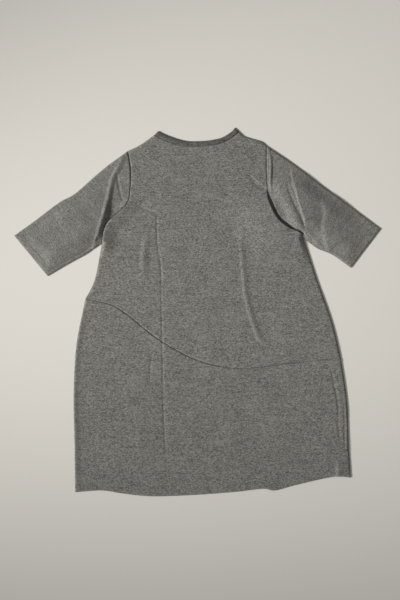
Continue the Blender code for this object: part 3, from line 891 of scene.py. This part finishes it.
# How strongly each pattern shows, and the height of the stitches in metres
FIBRE_CONTRAST = 2.6
FLECK_CONTRAST = 0.5
STREAK_CONTRAST = 0.4
BLOTCH_CONTRAST = 0.12
KNIT_RELIEF = 0.0002


class Sewing(NamedTuple):
    """Rows of stitches beside a curve.

    The offsets are plus on the curve's left, start and end are shares of its length,
    and sunk is how far the stitches lie below the cloth's face.
    """

    name: str
    curve: str
    offsets: tuple
    start: float
    end: float
    sunk: float
    radius: float
    thread: str


# Two rows along each hem, and near-black thread down in the seams, which paints the dark shade line of the
# seams
SEWING = (
    Sewing("hem_stitches", "hem", (14.5, 18.5), 0.005, 0.995, 0.05, HEM_STITCH_RADIUS, "hem_thread"),
    Sewing(
        "left_cuff_stitches", "cuff_left", (18.0, 22.0), 0.03, 0.97, 0.05,
        HEM_STITCH_RADIUS, "hem_thread",
    ),
    Sewing(
        "right_cuff_stitches", "cuff_right", (-18.0, -22.0), 0.03, 0.97, 0.05,
        HEM_STITCH_RADIUS, "hem_thread",
    ),
    Sewing("wavy_seam_shade_stitches", "wavy", (-0.5 * GAP,), 0.01, 0.99, 1.6, SEAM_STITCH_RADIUS, "seam_thread"),
    Sewing("neck_seam_stitches", "neck", (0.5 * GAP,), 0.02, 0.98, 1.4, SEAM_STITCH_RADIUS, "hem_thread"),
    Sewing(
        "left_armhole_shade_stitches", "armhole_left", (-0.5 * GAP,), 0.01, 0.40, 1.6,
        SEAM_STITCH_RADIUS, "seam_thread",
    ),
    Sewing(
        "right_armhole_shade_stitches", "armhole_right", (0.5 * GAP,), 0.01, 0.40, 1.6,
        SEAM_STITCH_RADIUS, "seam_thread",
    ),
)


def stitches(sewing, material):
    """Rows of short stitches, each a rounded bar that tapers into the cloth at its ends."""
    ends = []
    line = smooth_curve(getattr(CURVES, sewing.curve), step=0.5 * STITCH_LENGTH)
    for offset in sewing.offsets:
        row = moved_left(line, offset)
        row = row[int(sewing.start * len(row)):int(sewing.end * len(row))]
        count = int(path_length(row) / STITCH_PITCH)
        gone = length_so_far(row)
        where = np.arange(count)[:, None] * STITCH_PITCH + np.array((0.0, STITCH_LENGTH))
        flat = np.stack([np.interp(where.ravel(), gone, row[:, axis]) for axis in (0, 1)], axis=1)
        ends.append(np.column_stack((flat, cloth_top(flat) - sewing.sunk)).reshape(count, 2, 3))
    first, last = (np.concatenate(ends)[:, end] for end in (0, 1))
    along = last - first
    along /= np.linalg.norm(along, axis=1)[:, None]
    across = np.cross(along, (0.0, 0.0, 1.0))
    over = np.cross(across, along)
    turn = np.linspace(0.0, 2.0 * math.pi, STITCH_SIDES, endpoint=False)
    stations = []
    for share, width in STITCH_PROFILE:
        centre = (first + share * (last - first))[:, None]
        spokes = np.cos(turn)[:, None] * across[:, None] + np.sin(turn)[:, None] * over[:, None]
        stations.append(centre + sewing.radius * width * spokes)
    vertices = np.stack(stations, axis=1)
    count, rows = len(vertices), len(STITCH_PROFILE)
    faces = []
    for stitch in range(count):
        base = stitch * rows * STITCH_SIDES
        ring = [[base + row * STITCH_SIDES + side for side in range(STITCH_SIDES)] for row in range(rows)]
        faces += [ring[0][::-1], ring[-1]]
        for low, high in zip(ring[:-1], ring[1:]):
            for side in range(STITCH_SIDES):
                beside = (side + 1) % STITCH_SIDES
                faces.append((low[side], low[beside], high[beside], high[side]))
    return make_object(sewing.name, vertices.reshape(-1, 3), faces, material)


def plain_material(name, colour, roughness, gloss):
    """A material of one colour."""
    material = bpy.data.materials.new(name)
    material.use_nodes = True
    shader = material.node_tree.nodes["Principled BSDF"]
    shader.inputs["Base Color"].default_value = colour
    shader.inputs["Roughness"].default_value = roughness
    shader.inputs["Specular IOR Level"].default_value = gloss
    return material


def thread_material(name, colour):
    """Plain matt sewing thread; the near-black seam thread paints the shade in the seams."""
    return plain_material(name, colour, roughness=0.8, gloss=0.2)


def floor_material():
    """A plain pale studio surface."""
    return plain_material("studio_floor", FLOOR_COLOUR, roughness=0.9, gloss=0.1)


def knit_material(name, grain, fineness, dark, light):
    """Melange knit: fibres of two shades in short streaks along each course, over raised stitches.

    grain is the direction of the courses, in radians from +X, and fineness the size of the fibres.
    """
    material = bpy.data.materials.new(name)
    material.use_nodes = True
    tree = material.node_tree
    shader = tree.nodes["Principled BSDF"]
    shader.inputs["Roughness"].default_value = 0.95
    shader.inputs["Specular IOR Level"].default_value = 0.2
    shader.inputs["Sheen Weight"].default_value = 0.15
    shader.inputs["Sheen Roughness"].default_value = 0.6
    link = tree.links.new
    place = tree.nodes.new("ShaderNodeTexCoord")

    def fine(size):
        return size[0] * fineness, size[1] * fineness, size[2]

    def mapped(size):
        mapping = tree.nodes.new("ShaderNodeMapping")
        mapping.vector_type = "TEXTURE"
        mapping.inputs["Rotation"].default_value = (0.0, 0.0, grain)
        mapping.inputs["Scale"].default_value = size
        link(place.outputs["Object"], mapping.inputs["Vector"])
        return mapping.outputs["Vector"]

    def noise(size, detail, roughness):
        texture = tree.nodes.new("ShaderNodeTexNoise")
        texture.inputs["Scale"].default_value = 1.0
        texture.inputs["Detail"].default_value = detail
        texture.inputs["Roughness"].default_value = roughness
        link(mapped(size), texture.inputs["Vector"])
        return texture.outputs["Fac"]

    def maths(operation, a, b=None, c=None):
        node = tree.nodes.new("ShaderNodeMath")
        node.operation = operation
        for socket, value in zip(node.inputs, (a, b, c)):
            if value is None:
                continue
            if isinstance(value, (int, float)):
                socket.default_value = value
            else:
                link(value, socket)
        return node.outputs["Value"]

    fibres = noise(fine(FIBRES), detail=3.0, roughness=0.7)
    streaks = noise(STREAKS, detail=2.0, roughness=0.5)
    cells = tree.nodes.new("ShaderNodeTexVoronoi")
    cells.inputs["Scale"].default_value = 1.0
    link(mapped(fine(FLECKS)), cells.inputs["Vector"])
    fleck = tree.nodes.new("ShaderNodeSeparateColor")
    link(cells.outputs["Color"], fleck.inputs["Color"])
    blotches = noise(BLOTCHES, detail=2.0, roughness=0.5)
    mix = 0.5
    for pattern, contrast in (
        (fibres, FIBRE_CONTRAST), (fleck.outputs["Red"], FLECK_CONTRAST),
        (streaks, STREAK_CONTRAST), (blotches, BLOTCH_CONTRAST),
    ):
        mix = maths("MULTIPLY_ADD", maths("SUBTRACT", pattern, 0.5), contrast, mix)
    blend = tree.nodes.new("ShaderNodeMix")
    blend.data_type = "RGBA"
    blend.inputs["A"].default_value = dark
    blend.inputs["B"].default_value = light
    link(mix, blend.inputs["Factor"])
    link(blend.outputs["Result"], shader.inputs["Base Color"])

    split = tree.nodes.new("ShaderNodeSeparateXYZ")
    link(mapped((WALE, COURSE, 1.0)), split.inputs["Vector"])
    half = maths("ABSOLUTE", maths("SUBTRACT", maths("FRACT", split.outputs["X"]), 0.5))
    chevron = maths("ADD", split.outputs["Y"], half)
    loops = maths("SINE", maths("MULTIPLY", chevron, 2.0 * math.pi))
    gutters = maths("MULTIPLY", maths("COSINE", maths("MULTIPLY", half, 2.0 * math.pi)), -1.0)
    height = maths("ADD", maths("MULTIPLY", loops, 0.5), gutters)
    height = maths("ADD", height, maths("MULTIPLY", fibres, 2.0))
    bump = tree.nodes.new("ShaderNodeBump")
    bump.inputs["Strength"].default_value = 0.5
    bump.inputs["Distance"].default_value = KNIT_RELIEF
    link(height, bump.inputs["Height"])
    link(bump.outputs["Normal"], shader.inputs["Normal"])
    return material


# Studio: metres, and the lens in millimetres
CAMERA_PLACE = (0.0069, 0.033, 1.608)
CAMERA_LENS = 35.0
FLOOR_HALF = 6.0
FLOOR_DROP = 0.0001
SKY_COLOUR = (1.0, 0.99, 0.965, 1.0)
SKY_STRENGTH = 0.2375

# The key light: its turn from +X and height in degrees, then metres, watts and the cone in degrees
KEY_TURN = 188.0
KEY_HEIGHT = 27.0
KEY_DISTANCE = 6.0
KEY_AIM = (0.78, 0.34, 0.0)
KEY_RADIUS = 0.7
KEY_POWER = 2290.0
KEY_CONE = 28.0
KEY_COLOUR = (1.0, 0.995, 0.985)


def studio():
    """Camera straight above, a pale floor, one large soft light that fades outwards, and a plain sky."""
    camera = bpy.data.objects.new("camera", bpy.data.cameras.new("camera"))
    camera.location = CAMERA_PLACE
    camera.data.lens = CAMERA_LENS
    bpy.context.scene.collection.objects.link(camera)
    bpy.context.scene.camera = camera

    mesh = bpy.data.meshes.new("floor")
    sides = ((-1, -1), (1, -1), (1, 1), (-1, 1))
    corners = [(x * FLOOR_HALF, y * FLOOR_HALF, -FLOOR_DROP) for x, y in sides]
    mesh.from_pydata(corners, [], [(0, 1, 2, 3)])
    mesh.materials.append(floor_material())
    floor = bpy.data.objects.new("floor", mesh)
    bpy.context.scene.collection.objects.link(floor)

    turn, height = math.radians(KEY_TURN), math.radians(KEY_HEIGHT)
    away = Vector((math.cos(turn) * math.cos(height), math.sin(turn) * math.cos(height), math.sin(height)))
    light = bpy.data.objects.new("key_light", bpy.data.lights.new("key_light", "SPOT"))
    light.data.shadow_soft_size = KEY_RADIUS
    light.data.energy = KEY_POWER
    light.data.color = KEY_COLOUR
    light.data.spot_size = math.radians(KEY_CONE)
    light.data.spot_blend = 1.0
    light.location = KEY_DISTANCE * away
    light.rotation_euler = (light.location - Vector(KEY_AIM)).to_track_quat("Z", "Y").to_euler()
    light.visible_camera = False
    bpy.context.scene.collection.objects.link(light)

    world = bpy.data.worlds.new("sky")
    world.use_nodes = True
    sky = world.node_tree.nodes["Background"]
    sky.inputs["Color"].default_value = SKY_COLOUR
    sky.inputs["Strength"].default_value = SKY_STRENGTH
    bpy.context.scene.world = world
    bpy.context.scene.view_settings.view_transform = "Standard"


def direction(start, end):
    """Angle of the line between two places, in radians from +X."""
    return math.atan2(end[1] - start[1], end[0] - start[0])


studio()

# The sleeves' courses run along their cuffs, and their fibres look finer
SLEEVE_FINENESS = 0.75
left_course = direction(CUFF_END_LEFT, CUFF_TOP_LEFT)
right_course = direction(CUFF_END_RIGHT, CUFF_TOP_RIGHT)
body_knit = knit_material("body_knit", 0.0, 1.0, KNIT_DARK, KNIT_LIGHT)
left_knit = knit_material("left_sleeve_knit", left_course, SLEEVE_FINENESS, KNIT_DARK, KNIT_LIGHT)
right_knit = knit_material("right_sleeve_knit", right_course, SLEEVE_FINENESS, KNIT_DARK, KNIT_LIGHT)
# The band's knit is painted darker than the body's, standing for the shade between its ribs
band_knit_rib_shaded = knit_material("band_knit_rib_shaded", 0.0, 1.0, BAND_DARK_RIB_SHADED, BAND_LIGHT_RIB_SHADED)

# The outlines of the cut panels, and the pieces themselves
lower_seam = moved_left(CURVES.wavy, -GAP)
lower_left, lower_right = CURVES.skirt_left.copy(), CURVES.skirt_right.copy()
lower_left[0], lower_right[0] = lower_seam[0], lower_seam[-1]
upper_outline = joined(
    CURVES.neck, CURVES.shoulder_right, CURVES.armhole_right, CURVES.side_right, CURVES.wavy[::-1],
    CURVES.side_left[::-1], CURVES.armhole_left[::-1], CURVES.shoulder_left[::-1],
)
lower_outline = joined(lower_seam, lower_right, CURVES.hem[::-1], lower_left[::-1])
front_outline = joined(
    CURVES.front_neck, CURVES.shoulder_right, CURVES.armhole_right, CURVES.side_right, CURVES.skirt_right,
    CURVES.hem[::-1], CURVES.skirt_left[::-1], CURVES.side_left[::-1], CURVES.armhole_left[::-1],
    CURVES.shoulder_left[::-1],
)
back_upper = panel("back_upper_cloth", upper_outline, body_knit, upper=True)
back_lower = panel("back_lower_cloth", lower_outline, body_knit, upper=True)
front = panel("front_cloth", front_outline, body_knit, upper=False)
sleeve_left = sleeve(
    "sleeve_left_cloth", CURVES.armhole_left, CURVES.sleeve_top_left, CURVES.underarm_left,
    CURVES.cuff_left, on_left=True, material=left_knit,
)
sleeve_right = sleeve(
    "sleeve_right_cloth", CURVES.armhole_right, CURVES.sleeve_top_right, CURVES.underarm_right,
    CURVES.cuff_right, on_left=False, material=right_knit,
)
band = neck_band(band_knit_rib_shaded)

# The stitches, by name
threads = {
    "hem_thread": thread_material("hem_thread", THREAD_COLOUR),
    # The seam thread is near black, painted shade along the seam lines
    "seam_thread": thread_material("seam_thread", SEAM_SHADE_THREAD_COLOUR),
}
sewn = {sewing.name: stitches(sewing, threads[sewing.thread]) for sewing in SEWING}

# What each piece stands for, the cut that it was made from, and its stitches: sizes in metres
SLEEVE_FLAT = (0.50, 0.36)
for piece, node, slot, flat, area, under, names in (
    (back_upper, "back_upper", "body_knit", (0.705, 0.652), 0.302, ["front"], ()),
    (back_lower, "back_lower", "body_knit", (0.765, 0.545), 0.298, ["front"], (
        "hem_stitches", "wavy_seam_shade_stitches",
    )),
    (front, "front", "body_knit", (0.765, 1.005), 0.586, [], ()),
    (sleeve_left, "sleeve_left", "body_knit", SLEEVE_FLAT, 0.0985, [], (
        "left_cuff_stitches", "left_armhole_shade_stitches",
    )),
    (sleeve_right, "sleeve_right", "body_knit", SLEEVE_FLAT, 0.098, [], (
        "right_cuff_stitches", "right_armhole_shade_stitches",
    )),
    (band, "neck_band", "neck_rib", (0.56, 0.0165), None, [], ("neck_seam_stitches",)),
):
    rows = [sewn[name] for name in names]
    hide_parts(node)
    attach(piece, "root")
    for row in rows:
        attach(row, "root")
